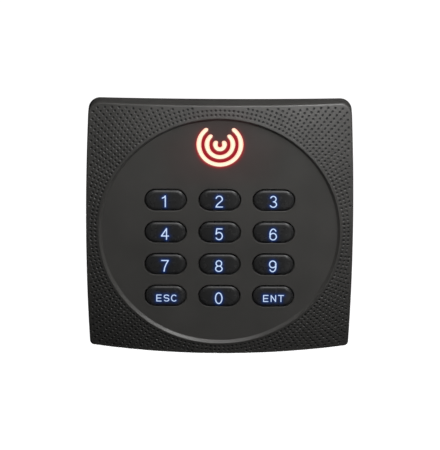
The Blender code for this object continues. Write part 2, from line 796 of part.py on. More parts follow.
make_front_cover()
make_keys()
make_keypad_mat()
make_light_guide()
make_leds()
make_board()
make_board_screws()
make_coil()
make_chips()
make_crystal()
make_capacitors()
make_buzzer()
make_cable_header()
make_back_cover()
make_case_seal()
make_case_screws()
make_cable_grommet()
make_wall_plate()
make_lock()
bpy.context.view_layer.update()
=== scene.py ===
"""Looks of the keypad access reader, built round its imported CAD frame.

The cover, the keys, their lit figures and the light guide are made finely here. Sizes are in
millimetres in the CAD frame: X right, Z up, the front towards -Y, the wall at y = 0. The softboxes,
the backdrop and the camera are placed in metres.
"""

import json
import math
from functools import partial

import bmesh
import bpy
import numpy as np
from mathutils import Matrix, Vector
from mathutils.geometry import delaunay_2d_cdt


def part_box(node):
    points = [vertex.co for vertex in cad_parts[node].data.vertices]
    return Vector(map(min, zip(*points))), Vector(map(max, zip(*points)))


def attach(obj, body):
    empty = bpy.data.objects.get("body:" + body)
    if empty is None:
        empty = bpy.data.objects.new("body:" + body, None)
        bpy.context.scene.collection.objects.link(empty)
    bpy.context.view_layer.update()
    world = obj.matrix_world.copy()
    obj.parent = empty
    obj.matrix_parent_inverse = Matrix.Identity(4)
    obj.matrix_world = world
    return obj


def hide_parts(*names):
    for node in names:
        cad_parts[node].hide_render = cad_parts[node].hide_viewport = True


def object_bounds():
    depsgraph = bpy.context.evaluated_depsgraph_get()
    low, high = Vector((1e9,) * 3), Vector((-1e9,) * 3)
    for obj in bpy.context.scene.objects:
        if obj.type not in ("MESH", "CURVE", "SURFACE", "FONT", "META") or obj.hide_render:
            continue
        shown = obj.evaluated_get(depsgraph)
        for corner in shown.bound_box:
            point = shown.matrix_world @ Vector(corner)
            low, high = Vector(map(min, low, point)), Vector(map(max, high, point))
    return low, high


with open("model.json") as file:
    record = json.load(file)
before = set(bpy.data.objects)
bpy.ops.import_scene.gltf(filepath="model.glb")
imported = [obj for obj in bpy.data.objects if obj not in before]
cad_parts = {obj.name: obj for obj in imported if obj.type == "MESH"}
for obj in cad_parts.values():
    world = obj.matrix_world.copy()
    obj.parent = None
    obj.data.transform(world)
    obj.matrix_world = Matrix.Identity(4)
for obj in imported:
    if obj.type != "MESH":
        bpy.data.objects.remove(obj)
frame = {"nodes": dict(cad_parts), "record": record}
NODES = frame["nodes"]
CAD_BOX = [list(corner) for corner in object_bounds()]
MM = 0.001

# The cover, at the same sizes as its CAD
LIP_Y = CAD_BOX[0][1] / MM
HALF_WIDTH = CAD_BOX[1][0] / MM
HALF_HEIGHT = CAD_BOX[1][2] / MM
SIDE_BULGE = 0.8
TOP_BULGE = 0.7
TOP_CORNER_R = 4.0
BOTTOM_CORNER_R = 1.4
DOME_R = 163.0
LIP_R = 38.8
LIP_ROUND = 0.25  # how far the rounding of the lip reaches onto the dome
LIP_FALL = 0.3  # how far it reaches inwards, down the wall of the recess
PANEL_Y = LIP_Y + 0.9
PANEL_BACK = PANEL_Y + 1.8
RECESS_WALL = 0.7  # how far the leaning wall of the recess reaches inwards
FOOT_OUT = 0.2  # how far the rounding at the foot of the wall reaches outwards, up the wall
FOOT_IN = 0.25  # how far it reaches inwards, onto the panel
SHELL = 2.2
SHELL_EDGE = 0.2  # the bevel between the rear rim and the inside
SHELL_SAG = 0.2  # how much thicker the dome is between its edges
INNER_STEP = 1.0  # from the foot of the recess wall inwards to the edge of the panel's back
RIDGE_R = 0.5
RIDGE_STEPS = 8
RIM_R = 237.0
RIM_DEPTH = 8.3
RIM_ROUND = 1.0
RIM_STEPS = 6
SEAL_OUTER = 38.6
SEAL_INNER = 37.0
SEAL_CORNER_R = 6.0
RIB_END = -11.9
ROOT_OVERLAP = 0.9  # the rib starts no further than this into the panel
BOSS_AT = 32.0
BOARD_POSTS = ((-28.2, 16.0), (28.2, 16.0), (-28.2, -20.0), (28.2, -20.0))
# Radius, radius of the hole, and the y of the root, the end and the bottom of the hole
BOSS_SHAPE = (3.2, 1.5, -14.9, -7.5, -13.4)
POST_SHAPE = (2.5, 1.1, PANEL_BACK - 0.5, -11.7, -14.8)

# Keys and status light
KEY_LENGTH = 13.0
KEY_HEIGHT = 6.8
KEY_SLIT = 0.3
OPENING_ROUND = 0.35
KEY_PROUD = 0.6
KEY_EDGE = 1.25  # how far the rounding of a cap reaches inwards
EDGE_STEPS = 12
RIM_START = 1e-4  # the rounding starts this far in, because it stands upright at the rim
CROWN_RISE = 0.12
CROWN_STEP = 0.2
CROWN_COLUMNS = 24  # of grid points, to each side of the middle
CROWN_ROWS = 10
CROWN_MARGIN = 0.08
FLANGE = 0.8
FLANGE_FRONT = PANEL_BACK + 0.3
FLANGE_BACK = FLANGE_FRONT + 1.0
STEM_END = FLANGE_BACK + 0.5
STEM = (9.0, 4.0)
LIGHT_Z = 29.6
ARC_RADII = (6.75, 4.15, 1.5)
ARC_OPENINGS = (41.0, 46.0, 60.0)
ARC_WIDTH = 1.1
ARC_SLIT = 0.25
ARC_ROUND = 0.1
ARC_SUNK = 0.02  # how far the arcs' faces lie behind the panel's
ARC_ROOT = 0.5  # how far the arcs reach into the guide's plate
ARC_SHADES = (0.65, 0.45, 0.25)  # lines inside an arc that carry its change of colour
ARC_CORE = 2.6  # the core colour on an arc's middle line, before it's cut off at 1
SLIT_ROUND = 0.06
GUIDE_R = 9.0
GUIDE_TOP = 6.9  # the flat on the guide, above the arcs' middle
GUIDE_FRONT = PANEL_BACK + 0.3
GUIDE_DEPTH = 1.4

# The dimples of the frame stand on rings round the recess, one for every two degrees
DIMPLE_COLUMNS = 180
DIMPLE_ROWS = 20
DIMPLE_FIRST_R = 40.05
DIMPLE_PITCH = 1.36
DIMPLE_RINGS = ((0.5, 0.0), (0.45, 0.045), (0.35, 0.14), (0.18, 0.19))  # radius and depth
DIMPLE_FLOOR = 0.205  # the depth of a dimple's middle
DIMPLE_MARGIN = 1.02
DIMPLE_SIDES = 12
DIMPLE_DULLNESS = 0.4  # how much rougher the plastic is in a dimple

# The painted glow that the lit pieces give to the plastic round them, and how far it reaches
RED_GLOW = 0.19
RED_REACH = 0.6
RED_LIMIT = 0.4
FAR_GLOW = 0.0014
FAR_REACH = 4.0
GLOW_R = 14.0  # nothing further than this from the arcs' middle gets the painted red glow
GLOW_DEPTH = 0.4  # nothing further than this behind the panel's face gets the painted red glow
GLOW_RINGS = 23
GLOW_STEP = 0.45
GLOW_MARGIN = 0.6
BLUE_GLOW = 0.36
BLUE_REACH = 0.36

# Meshing
OUTLINE_STEPS = 40
CORNER_STEPS = 10
LOOP = 360  # points on each loop round the recess
WELDS_PER_MM = 2000  # corners that round to the same step of half a micron are one vertex
NEAR = 1e-3
NEAR_LIP = 0.05
FACING = 0.8  # exact normals go only to faces that lean less than this cosine from them
COVER_CREASE = math.radians(55)
CREASE = math.radians(50)


# Outlines in X and Z -----------------------------------------------------------


def arc(centre, radius, start, end, steps):
    """Points on an arc, in degrees counted from +X towards +Z."""
    turns = [math.radians(start + (end - start) * i / steps) for i in range(steps + 1)]
    return [(centre[0] + radius * math.cos(t), centre[1] + radius * math.sin(t)) for t in turns]


def oval(centre, half_width, half_height, start, end, steps=28):
    """Points on part of an ellipse."""
    x, z = centre
    turns = [math.radians(start + (end - start) * i / steps) for i in range(steps + 1)]
    return [(x + half_width * math.cos(t), z + half_height * math.sin(t)) for t in turns]


def line(start, end, steps):
    """Points from start up to, and without, end."""
    (x, z), (end_x, end_z) = start, end
    shares = [i / steps for i in range(steps)]
    return [(x + (end_x - x) * s, z + (end_z - z) * s) for s in shares]


def circle(centre, radius, steps):
    return arc(centre, radius, 0, 360, steps)[:-1]


def pill(length, height, centre=(0.0, 0.0), steps=20, straights=16):
    """An outline with straight long sides and round ends."""
    reach = (length - height) / 2
    x, z = centre
    right = arc((x + reach, z), height / 2, -90, 90, steps)
    left = arc((x - reach, z), height / 2, 90, 270, steps)
    top = line(right[-1], left[0], straights)
    bottom = line(left[-1], right[0], straights)
    return right[:-1] + top + left[:-1] + bottom


def open_ring(radius, width, opening, steps=60):
    """An arc of the status light with round ends, open at the top."""
    centre = (0, LIGHT_Z)
    start, end = 90 + opening, 450 - opening
    points = arc(centre, radius + width / 2, start, end, steps)
    for angle, turn in ((end, 0), (start, 180)):
        tip = arc(centre, radius, angle, angle, 1)[0]
        points += arc(tip, width / 2, angle + turn, angle + turn + 180, 10)[1:-1]
        if turn == 0:
            points += arc(centre, radius - width / 2, end, start, steps)
    return points


def rounded_box(half, radius, steps=6):
    """A square outline with round corners."""
    points = []
    for quarter, (sx, sz) in enumerate(((1, 1), (-1, 1), (-1, -1), (1, -1))):
        middle = (sx * (half - radius), sz * (half - radius))
        points += arc(middle, radius, 90 * quarter, 90 * quarter + 90, steps)
    return points


def cover_quarter(radius):
    """The outline from the middle of the right side to the middle of the top."""
    middle = (HALF_WIDTH - SIDE_BULGE - radius, HALF_HEIGHT - TOP_BULGE - radius)
    shares = [i / OUTLINE_STEPS for i in range(OUTLINE_STEPS + 1)]
    right = [(HALF_WIDTH - SIDE_BULGE * u**2, middle[1] * u) for u in shares]
    top = [(middle[0] * u, HALF_HEIGHT - TOP_BULGE * u**2) for u in reversed(shares)]
    return right[:-1] + arc(middle, radius, 0, 90, CORNER_STEPS) + top[1:]


def cover_outline():
    """The pillow outline, anticlockwise from the middle of the right side."""
    points = []
    for turn_x, turn_z in ((1, 1), (-1, 1), (-1, -1), (1, -1)):
        quarter = cover_quarter(TOP_CORNER_R if turn_z > 0 else BOTTOM_CORNER_R)
        mirrored = [(x * turn_x, z * turn_z) for x, z in quarter]
        if turn_x != turn_z:
            mirrored.reverse()
        points += mirrored[:-1]
    return [Vector(p) for p in points]


def inset(outline, distance):
    """The outline moved inwards, each point towards the centre of the part."""
    return [p - p.normalized() * distance * (p.length / max(abs(p.x), abs(p.y))) for p in outline]


def sphere_drop(radius, ball, level_radius):
    """How far a ball's surface lies behind the level it has at level_radius."""
    return math.sqrt(ball**2 - level_radius**2) - math.sqrt(ball**2 - radius**2)


def dome_y(x, z):
    """The depth of the domed frame, without its dimples."""
    return LIP_Y + sphere_drop(math.hypot(x, z), DOME_R, LIP_R)


def rim_y(x, z):
    """The depth of the rear rim, which is domed like the front."""
    return LIP_Y + RIM_DEPTH + sphere_drop(math.hypot(x, z), RIM_R, HALF_WIDTH)


def bend(start, corner, end, steps):
    """A smooth curve from start to end that leans towards the corner between them."""
    curve = []
    for i in range(steps + 1):
        s = i / steps
        ends = zip(start, corner, end)
        curve.append(tuple((1 - s) ** 2 * a + 2 * s * (1 - s) * b + s * s * c for a, b, c in ends))
    return curve


# Mesh makers -------------------------------------------------------------------


def crossings(points, loop):
    """How many edges of a loop lie to the right of each point."""
    count = np.zeros(len(points), int)
    corners = np.array(loop, float)
    for (ax, az), (bx, bz) in zip(corners, np.roll(corners, -1, axis=0)):
        if az == bz:
            continue
        level = (az > points[:, 1]) != (bz > points[:, 1])
        cross_x = ax + (points[:, 1] - az) * (bx - ax) / (bz - az)
        count += level & (points[:, 0] < cross_x)
    return count


class Skin:
    """A mesh whose faces share a vertex wherever their corners meet."""

    def __init__(self):
        self.points = []
        self.places = {}
        self.faces = []

    def vertex(self, point):
        """The index of the vertex at a point, new or already there."""
        key = tuple(round(c * WELDS_PER_MM) for c in point)
        if key not in self.places:
            self.places[key] = len(self.points)
            self.points.append(tuple(point))
        return self.places[key]

    def face(self, corners):
        """One face, without the corners that fall on the one before."""
        indices = [self.vertex(p) for p in corners]
        kept = [a for a, b in zip(indices, indices[1:] + indices[:1]) if a != b]
        if len(kept) > 2:
            self.faces.append(kept)

    def band(self, *loops):
        """Quads between closed loops of equal length."""
        for near, far in zip(loops, loops[1:]):
            for i in range(len(near)):
                j = (i + 1) % len(near)
                self.face((near[i], near[j], far[j], far[i]))

    def flat(self, borders, guides, spots, depth):
        """Triangles inside the borders and outside their holes, at a depth given by depth(x, z)."""
        points, edges = [], []
        for loop in [*borders, *guides]:
            first = len(points)
            points += [Vector(p) for p in loop]
            edges += [(first + i, first + (i + 1) % len(loop)) for i in range(len(loop))]
        points += [Vector(p) for p in spots]
        made = delaunay_2d_cdt(points, edges, [], 0, 1e-6)
        flat_points, triangles = made[0], made[2]
        plan = np.array([tuple(p) for p in flat_points])
        middles = np.array([plan[list(t)].mean(axis=0) for t in triangles])
        inside = sum(crossings(middles, loop) for loop in borders) % 2 == 1
        solid = [(p.x, depth(p.x, p.y), p.y) for p in flat_points]
        for triangle, kept in zip(triangles, inside):
            if kept:
                self.face([solid[i] for i in triangle])

    def mesh(self, name):
        """A smooth mesh in metres, with its faces turned outwards."""
        made = bpy.data.meshes.new(name)
        made.from_pydata([Vector(p) * MM for p in self.points], [], self.faces)
        made.validate()
        work = bmesh.new()
        work.from_mesh(made)
        bmesh.ops.recalc_face_normals(work, faces=work.faces)
        for face in work.faces:
            face.smooth = True
        work.to_mesh(made)
        work.free()
        return made


def at_depth(outline, depth):
    """The outline as points in space, at one depth or at that given by depth(x, z)."""
    if callable(depth):
        return [(x, depth(x, z), z) for x, z in outline]
    return [(x, depth, z) for x, z in outline]


def tube(skin, centre, radius, hole, start, end, hole_end, steps=32):
    """A round post from start to end, with a blind hole in its end."""
    outer = circle(centre, radius, steps)
    inner = circle(centre, hole, steps)
    loops = [at_depth(outer, y) for y in (start, end)]
    loops += [at_depth(inner, y) for y in (end, hole_end)]
    skin.face(loops[0])
    skin.band(*loops)
    skin.face(loops[-1])


def loose(name, mesh):
    """Puts a mesh in the scene."""
    made = bpy.data.objects.new(name, mesh)
    bpy.context.scene.collection.objects.link(made)
    return made


def piece(name, mesh, finish, slot, body, *nodes):
    """Puts a mesh in the scene on its body, in place of some CAD nodes."""
    made = loose(name, mesh)
    mesh.materials.clear()
    mesh.materials.append(finish)
    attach(made, body)
    if nodes:
        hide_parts(*nodes)


def number(mesh, name, values):
    """Stores one number for each vertex, which materials read by its name."""
    field = mesh.attributes.new(name, "FLOAT", "POINT")
    field.data.foreach_set("value", np.asarray(values, np.float32))


def places_of(mesh):
    """The vertices' places, in millimetres."""
    places = np.zeros(len(mesh.vertices) * 3, np.float32)
    mesh.vertices.foreach_get("co", places)
    return places.reshape(-1, 3) / MM


def plan_of(mesh):
    """The vertices' X and Z, in millimetres."""
    return places_of(mesh)[:, (0, 2)]


def stroke_distance(points, strokes):
    """How far each point lies from the nearest of some strokes."""
    best = np.full(len(points), np.inf)
    for stroke in strokes:
        corners = np.array(stroke, float)
        for start, end in zip(corners, corners[1:]):
            along = end - start
            share = np.clip((points - start) @ along / (along @ along), 0, 1)
            away = np.linalg.norm(points - start - share[:, None] * along, axis=1)
            best = np.minimum(best, away)
    return best


# Materials ---------------------------------------------------------------------


class Finish:
    """A Principled material with helpers to wire up its nodes."""

    def __init__(self, name, **sockets):
        self.material = bpy.data.materials.new(name)
        self.material.use_nodes = True
        self.tree = self.material.node_tree
        self.shader = self.tree.nodes["Principled BSDF"]
        for socket, value in sockets.items():
            self.shader.inputs[socket.replace("_", " ")].default_value = value
        self.where = self.tree.nodes.new("ShaderNodeTexCoord").outputs["Object"]

    def node(self, kind, settings=(), **inputs):
        made = self.tree.nodes.new("ShaderNode" + kind)
        for name, value in settings:
            setattr(made, name, value)
        for key, value in inputs.items():
            slot = int(key[1:]) if key[1:].isdigit() else key.replace("_", " ")
            self.put(made.inputs[slot], value)
        return made

    def put(self, socket, value):
        if isinstance(value, bpy.types.NodeSocket):
            self.tree.links.new(value, socket)
        else:
            socket.default_value = value

    def noise(self, size, detail=3.0, stretch=None):
        """Noise whose grains are size millimetres across, from 0 to 1."""
        where = self.where
        if stretch:
            where = self.node("Mapping", Vector=where, Scale=stretch).outputs["Vector"]
        made = self.node("TexNoise", Vector=where, Scale=1 / (size * MM), Detail=detail)
        return made.outputs["Fac"]

    def remap(self, value, low, high, start=0.25, end=0.75):
        """The range from start to end, stretched to that from low to high."""
        made = self.node("MapRange", _0=value, _1=start, _2=end, _3=low, _4=high)
        return made.outputs["Result"]

    def mix(self, share, first, second):
        made = self.node("Mix", (("data_type", "RGBA"),), _0=share, _6=first, _7=second)
        return made.outputs[2]

    def calculate(self, operation, first, second):
        made = self.node("Math", (("operation", operation),), _0=first, _1=second)
        return made.outputs[0]

    def field(self, name):
        """A number stored on the mesh."""
        return self.node("Attribute", (("attribute_name", name),)).outputs["Fac"]

    def bump(self, height, depth):
        """Presses a height from 0 to 1 into the surface, depth millimetres deep."""
        made = self.node("Bump", Height=height, Distance=depth * MM, Strength=1.0)
        self.put(self.shader.inputs["Normal"], made.outputs["Normal"])


def tone(colour, factor=1.0):
    """An opaque colour, made lighter or darker by a factor."""
    return (*(c * factor for c in colour), 1.0)


def worked(name, colour, roughness, grain, depth, drift=0.12, stretch=None, **sockets):
    """A surface with a fine grain, a slow drift in colour and an uneven gloss.

    The grain is how wide its marks are and the depth how deep, both in millimetres.
    """
    made = Finish(name, **sockets)
    slow = made.remap(made.noise(14.0, 4.0), 0.0, 1.0, 0.3, 0.7)
    shade = made.mix(slow, tone(colour, 1 - drift), tone(colour, 1 + drift))
    made.put(made.shader.inputs["Base Color"], shade)
    rough = made.remap(made.noise(2.5, 3.0), roughness - 0.05, roughness + 0.05)
    made.put(made.shader.inputs["Roughness"], rough)
    made.bump(made.noise(grain, 2.0, stretch), depth)
    return made


def cover_finish():
    """Dark moulded plastic, with painted shade in its dimples and a painted red glow round the
    status light's arcs.
    """
    made = worked("cover_plastic", (0.043, 0.0415, 0.039), 0.4, 0.16, 0.012)
    shade = made.shader.inputs["Base Color"].links[0].from_socket
    dimple = made.field("dimple")
    # painted shade: the dimples' base colour goes to near black, standing in for the shade inside
    # them
    deep = made.mix(dimple, shade, tone((0.006, 0.006, 0.006)))
    made.put(made.shader.inputs["Base Color"], deep)
    rough = made.shader.inputs["Roughness"].links[0].from_socket
    dull = made.calculate("ADD", rough, made.calculate("MULTIPLY", dimple, DIMPLE_DULLNESS))
    made.put(made.shader.inputs["Roughness"], dull)
    # painted red glow: the plastic round the arcs emits red and its base colour goes dark red,
    # standing in for the status light's spill
    glow = made.field("red_glow")
    share = made.calculate("MULTIPLY", glow, 1 / RED_LIMIT)
    red = made.mix(share, deep, tone((0.02, 0.002, 0.003)))
    made.put(made.shader.inputs["Base Color"], red)
    made.put(made.shader.inputs["Emission Color"], tone((0.8, 0.008, 0.03)))
    made.put(made.shader.inputs["Emission Strength"], glow)
    return made.material


def key_finish():
    """Lacquered dark rubber, with a painted blue glow round its lit figure."""
    made = worked("key_rubber", (0.02, 0.02, 0.02), 0.26, 0.3, 0.006, Specular_IOR_Level=0.3)
    shade = made.shader.inputs["Base Color"].links[0].from_socket
    glow = made.field("blue_glow")
    share = made.calculate("MULTIPLY", glow, 1 / BLUE_GLOW)
    # painted blue glow: the rubber round the figure emits blue and its base colour goes to a near
    # black blue
    dark = made.mix(share, shade, tone((0.002, 0.003, 0.006)))
    made.put(made.shader.inputs["Base Color"], dark)
    made.put(made.shader.inputs["Emission Color"], tone((0.004, 0.08, 0.45)))
    made.put(made.shader.inputs["Emission Strength"], glow)
    return made.material


def lit_finish(name, edge, core, strength):
    """Lit plastic, from its edge colour to its core colour, with faint unevenness."""
    made = Finish(name, Roughness=0.4)
    share = made.field("core")
    colour = made.mix(share, tone(edge), tone(core))
    made.put(made.shader.inputs["Base Color"], made.mix(0.8, colour, tone((0.0, 0.0, 0.0))))
    made.put(made.shader.inputs["Emission Color"], colour)
    uneven = made.remap(made.noise(1.2), strength * 0.95, strength * 1.05)
    made.put(made.shader.inputs["Emission Strength"], uneven)
    made.bump(made.noise(0.3), 0.005)
    return made.material


# Front cover -------------------------------------------------------------------


def plan_key(point):
    """A name for a place in X and Z, equal for places that fall together."""
    return (round(point[0], 3), round(point[1], 3))


def dimple_places(outline):
    """Every dimple that keeps clear of the ridge round the frame."""
    round_turn = 2 * math.pi
    edge = [p.length for p in outline]
    turns = [math.atan2(p.y, p.x) % round_turn for p in outline]
    places = []
    for row in range(DIMPLE_ROWS):
        radius = DIMPLE_FIRST_R + row * DIMPLE_PITCH
        for column in range(DIMPLE_COLUMNS):
            turn = round_turn * column / DIMPLE_COLUMNS
            x, z = radius * math.cos(turn), radius * math.sin(turn)
            reach = np.interp(turn, turns, edge, period=round_turn)
            square = max(abs(x), abs(z)) / radius
            if (reach - radius) * square > DIMPLE_MARGIN:
                places.append((x, z))
    return places


def dimple_parts(places):
    """The rings and middles of the dimples, and each point's depth under the dome."""
    rings, middles, depths = [], [], {}
    for place in places:
        for radius, depth in DIMPLE_RINGS:
            ring = circle(place, radius, DIMPLE_SIDES)
            rings.append(ring)
            for point in ring:
                depths[plan_key(point)] = depth
        middles.append(place)
        depths[plan_key(place)] = DIMPLE_FLOOR
    return rings, middles, depths


def make_dome(skin, outline):
    """The dimpled frame, from the lip of the recess to the ridge. Gives its dimples' depths."""
    rings, middles, depths = dimple_parts(dimple_places(outline))

    def depth(x, z):
        return dome_y(x, z) + depths.get(plan_key((x, z)), 0.0)

    outer = [tuple(p) for p in inset(outline, RIDGE_R)]
    inner = circle((0, 0), LIP_R + LIP_ROUND, LOOP)
    skin.flat([outer, inner], rings, middles, depth)
    return depths


def make_recess(skin):
    """The rounded lip, the leaning wall and its foot, down to the panel."""
    foot_r = LIP_R - RECESS_WALL
    lean = (LIP_Y - PANEL_Y) / RECESS_WALL
    foot_end = (foot_r + FOOT_OUT, PANEL_Y + FOOT_OUT * lean)
    foot = bend((foot_r - FOOT_IN, PANEL_Y), (foot_r, PANEL_Y), foot_end, 4)
    low = (LIP_R - LIP_FALL, LIP_Y - LIP_FALL * lean)
    outer = LIP_R + LIP_ROUND
    lip = bend(low, (LIP_R, LIP_Y), (outer, dome_y(outer, 0)), 6)
    skin.band(*[at_depth(circle((0, 0), r, LOOP), y) for r, y in foot + lip])


def ridge_loops(outline):
    """The rounded ridge, from the frame to the side walls."""
    loops = []
    for i in range(RIDGE_STEPS + 1):
        turn = math.radians(90 * i / RIDGE_STEPS)
        ring = inset(outline, RIDGE_R * (1 - math.sin(turn)))
        drop = RIDGE_R * (1 - math.cos(turn))
        loops.append(at_depth(ring, lambda x, z, drop=drop: dome_y(x, z) + drop))
    return loops


def rim_loops(outline):
    """The rounded rear rim, from the side walls to the inside of the shell."""
    rim = []
    for i in range(RIM_STEPS + 1):
        turn = math.radians(90 * i / RIM_STEPS)
        rim.append((RIM_ROUND * (1 - math.cos(turn)), RIM_ROUND * (1 - math.sin(turn))))
    rim += [(SHELL - SHELL_EDGE, 0.0), (SHELL, SHELL_EDGE)]
    loops = []
    for distance, lift in rim:
        ring = inset(outline, distance)
        loops.append(at_depth(ring, lambda x, z, lift=lift: rim_y(x, z) - lift))
    return loops


def make_sides(skin, outline):
    """The ridge, the side walls, the rear rim and the inside of the dome, to its inner edge."""
    inside = inset(outline, SHELL)
    inner_r = LIP_R - RECESS_WALL - INNER_STEP
    inner_edge = [p.normalized() * inner_r for p in outline]
    loops = ridge_loops(outline) + rim_loops(outline)
    loops.append(at_depth(inside, lambda x, z: dome_y(x, z) + SHELL))
    for share in (0.25, 0.5, 0.75):
        ring = [b.lerp(a, share) for a, b in zip(inner_edge, inside)]
        loops.append(at_depth(ring, lambda x, z: dome_y(x, z) + SHELL + SHELL_SAG))
    loops.append(at_depth(inner_edge, PANEL_BACK))
    skin.band(*loops)
    return [tuple(p) for p in inner_edge]


def key_opening(place, edge):
    """The outline of a key's opening, widened by an edge."""
    length = KEY_LENGTH + 2 * KEY_SLIT
    height = KEY_HEIGHT + 2 * KEY_SLIT
    return pill(length + 2 * edge, height + 2 * edge, place)


def light_slit(radius, opening, edge):
    """The outline of a slit of the status light, widened by an edge."""
    width = ARC_WIDTH + 2 * ARC_SLIT
    return open_ring(radius, width + 2 * edge, opening)


def openings():
    """Each opening of the panel, as a function of how much to widen it, and its rounding."""
    found = [(partial(key_opening, place), OPENING_ROUND) for place in KEY_PLACES.values()]
    for radius, opening in zip(ARC_RADII, ARC_OPENINGS):
        found.append((partial(light_slit, radius, opening), SLIT_ROUND))
    return found


def make_panel(skin, inner_edge):
    """Both faces of the panel and the walls of its openings."""
    front, back = [], []
    for shape, round_by in openings():
        profile = bend((round_by, PANEL_Y), (0.0, PANEL_Y), (0.0, PANEL_Y + round_by), 4)
        loops = [at_depth(shape(edge), y) for edge, y in profile]
        loops.append(at_depth(shape(0.0), PANEL_BACK))
        skin.band(*loops)
        front.append(shape(round_by))
        back.append(shape(0.0))
    edge = circle((0, 0), LIP_R - RECESS_WALL - FOOT_IN, LOOP)
    skin.flat([edge, *front], [], glow_spots(), lambda x, z: PANEL_Y)
    skin.flat([inner_edge, *back], [], [], lambda x, z: PANEL_BACK)


def glow_spots():
    """Points round the status light that carry the painted red glow on the panel."""
    spots = []
    for ring in range(1, GLOW_RINGS + 1):
        radius = GLOW_STEP * ring
        spots += circle((0, LIGHT_Z), radius, max(8, int(radius * 12)))
    return [p for p in spots if math.hypot(*p) < LIP_R - RECESS_WALL - GLOW_MARGIN]


def make_inside(skin):
    """The sealing rib, the case screw bosses and the board posts."""
    def root(x, z):
        return max(dome_y(x, z) + SHELL / 2, PANEL_BACK - ROOT_OVERLAP)

    outer = rounded_box(SEAL_OUTER, SEAL_CORNER_R)
    inner = rounded_box(SEAL_INNER, SEAL_CORNER_R + SEAL_INNER - SEAL_OUTER)
    loops = [at_depth(outer, depth) for depth in (root, RIB_END)]
    loops += [at_depth(inner, depth) for depth in (RIB_END, root)]
    skin.band(*loops, loops[0])
    for x in (-BOSS_AT, BOSS_AT):
        for z in (-BOSS_AT, BOSS_AT):
            tube(skin, (x, z), *BOSS_SHAPE)
    for place in BOARD_POSTS:
        tube(skin, place, *POST_SHAPE)


def true_normals(mesh):
    """Gives the panel and the dome their exact normals, so that they shade without facets."""
    mesh.set_sharp_from_angle(angle=COVER_CREASE)
    places = places_of(mesh)
    radius = np.hypot(places[:, 0], places[:, 2])
    exact = np.zeros((len(places), 3))
    panel = (np.abs(places[:, 1] - PANEL_Y) < NEAR) & (radius < LIP_R)
    exact[panel] = (0, -1, 0)
    centre_y = LIP_Y + math.sqrt(DOME_R**2 - LIP_R**2)
    level = centre_y - np.sqrt(DOME_R**2 - radius**2)
    dome = (np.abs(places[:, 1] - level) < NEAR) & (radius > LIP_R + LIP_ROUND - NEAR_LIP)
    exact[dome] = (places[dome] - np.array((0, centre_y, 0))) / DOME_R
    corners = []
    for polygon in mesh.polygons:
        for index in polygon.vertices:
            normal = exact[index]
            facing = float(np.dot(normal, polygon.normal))
            corners.append(tuple(normal) if facing > FACING else (0.0, 0.0, 0.0))
    mesh.normals_split_custom_set(corners)


def red_glow(mesh):
    """How strongly the painted red glow of the status light lights the cover: most between its
    arcs.
    """
    plan = plan_of(mesh)
    front = places_of(mesh)[:, 1] < PANEL_Y + GLOW_DEPTH
    chosen = front & (np.hypot(plan[:, 0], plan[:, 1] - LIGHT_Z) < GLOW_R)
    reached = np.zeros(chosen.sum())
    far = np.zeros(chosen.sum())
    for stroke in light_strokes():
        spots = np.array(stroke)
        length = np.linalg.norm(spots[1] - spots[0])
        away = np.linalg.norm(plan[chosen][:, None] - spots[None], axis=2)
        away = np.maximum(away - ARC_WIDTH / 2, 0)
        reached += np.exp(-away / RED_REACH).sum(axis=1) * length
        far += np.exp(-away / FAR_REACH).sum(axis=1) * length
    glow = np.zeros(len(plan))
    glow[chosen] = RED_GLOW * reached**2 + FAR_GLOW * far
    number(mesh, "red_glow", np.minimum(glow, RED_LIMIT))


def light_strokes():
    """The middle lines of the three arcs."""
    strokes = []
    for radius, opening in zip(ARC_RADII, ARC_OPENINGS):
        steps = int(radius * 20)
        strokes.append(arc((0, LIGHT_Z), radius, 90 + opening, 450 - opening, steps))
    return strokes


def joined(first, second):
    """One smooth mesh from two closed meshes that overlap."""
    target, tool = loose(first.name, first), loose(second.name, second)
    step = target.modifiers.new("join", "BOOLEAN")
    step.operation = "UNION"
    step.solver = "MANIFOLD"
    step.object = tool
    bpy.context.view_layer.update()
    found = target.evaluated_get(bpy.context.evaluated_depsgraph_get())
    mesh = bpy.data.meshes.new_from_object(found)
    bpy.data.objects.remove(tool)
    bpy.data.objects.remove(target)
    for polygon in mesh.polygons:
        polygon.use_smooth = True
    return mesh


def make_cover():
    """The whole front cover as one closed piece."""
    outline = cover_outline()
    skin = Skin()
    depths = make_dome(skin, outline)
    make_recess(skin)
    inner_edge = make_sides(skin, outline)
    make_panel(skin, inner_edge)
    inner = Skin()
    make_inside(inner)
    mesh = joined(skin.mesh("cover_shell"), inner.mesh("cover_inside"))
    deepest = DIMPLE_RINGS[-1][1]
    pressed = [depths.get(plan_key(p), 0.0) / deepest for p in plan_of(mesh).tolist()]
    # the dimple mask carries the painted shade in the dimples and their rougher gloss
    number(mesh, "dimple", np.clip(pressed, 0, 1))
    red_glow(mesh)
    true_normals(mesh)
    piece("cover_with_dimples", mesh, cover_finish(), "cover_plastic", "housing", "front_cover")


# Keys --------------------------------------------------------------------------


def key_places():
    """Each key's middle, from its CAD box."""
    places = {}
    for name in ("1", "2", "3", "4", "5", "6", "7", "8", "9", "esc", "0", "ent"):
        low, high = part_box("key_" + name)
        places[name] = ((low.x + high.x) / 2 / MM, (low.z + high.z) / 2 / MM)
    return places


KEY_PLACES = key_places()


def cap_edge(x, z):
    """How far inside its outline a point of a cap lies, counted from the cap's middle."""
    straight = (KEY_LENGTH - KEY_HEIGHT) / 2
    return KEY_HEIGHT / 2 - math.hypot(max(abs(x) - straight, 0.0), z)


def cap_y(x, z):
    """The depth of a cap's face at a point counted from its middle."""
    edge = cap_edge(x, z)
    share = min(max(edge / KEY_EDGE, 0.0), 1.0)
    rounding = KEY_PROUD * (1 - math.sqrt(1 - (1 - share) ** 2))
    rise = min(max(edge / (KEY_HEIGHT / 2), 0.0), 1.0)
    return PANEL_Y - KEY_PROUD + rounding - CROWN_RISE * rise * rise * (3 - 2 * rise)


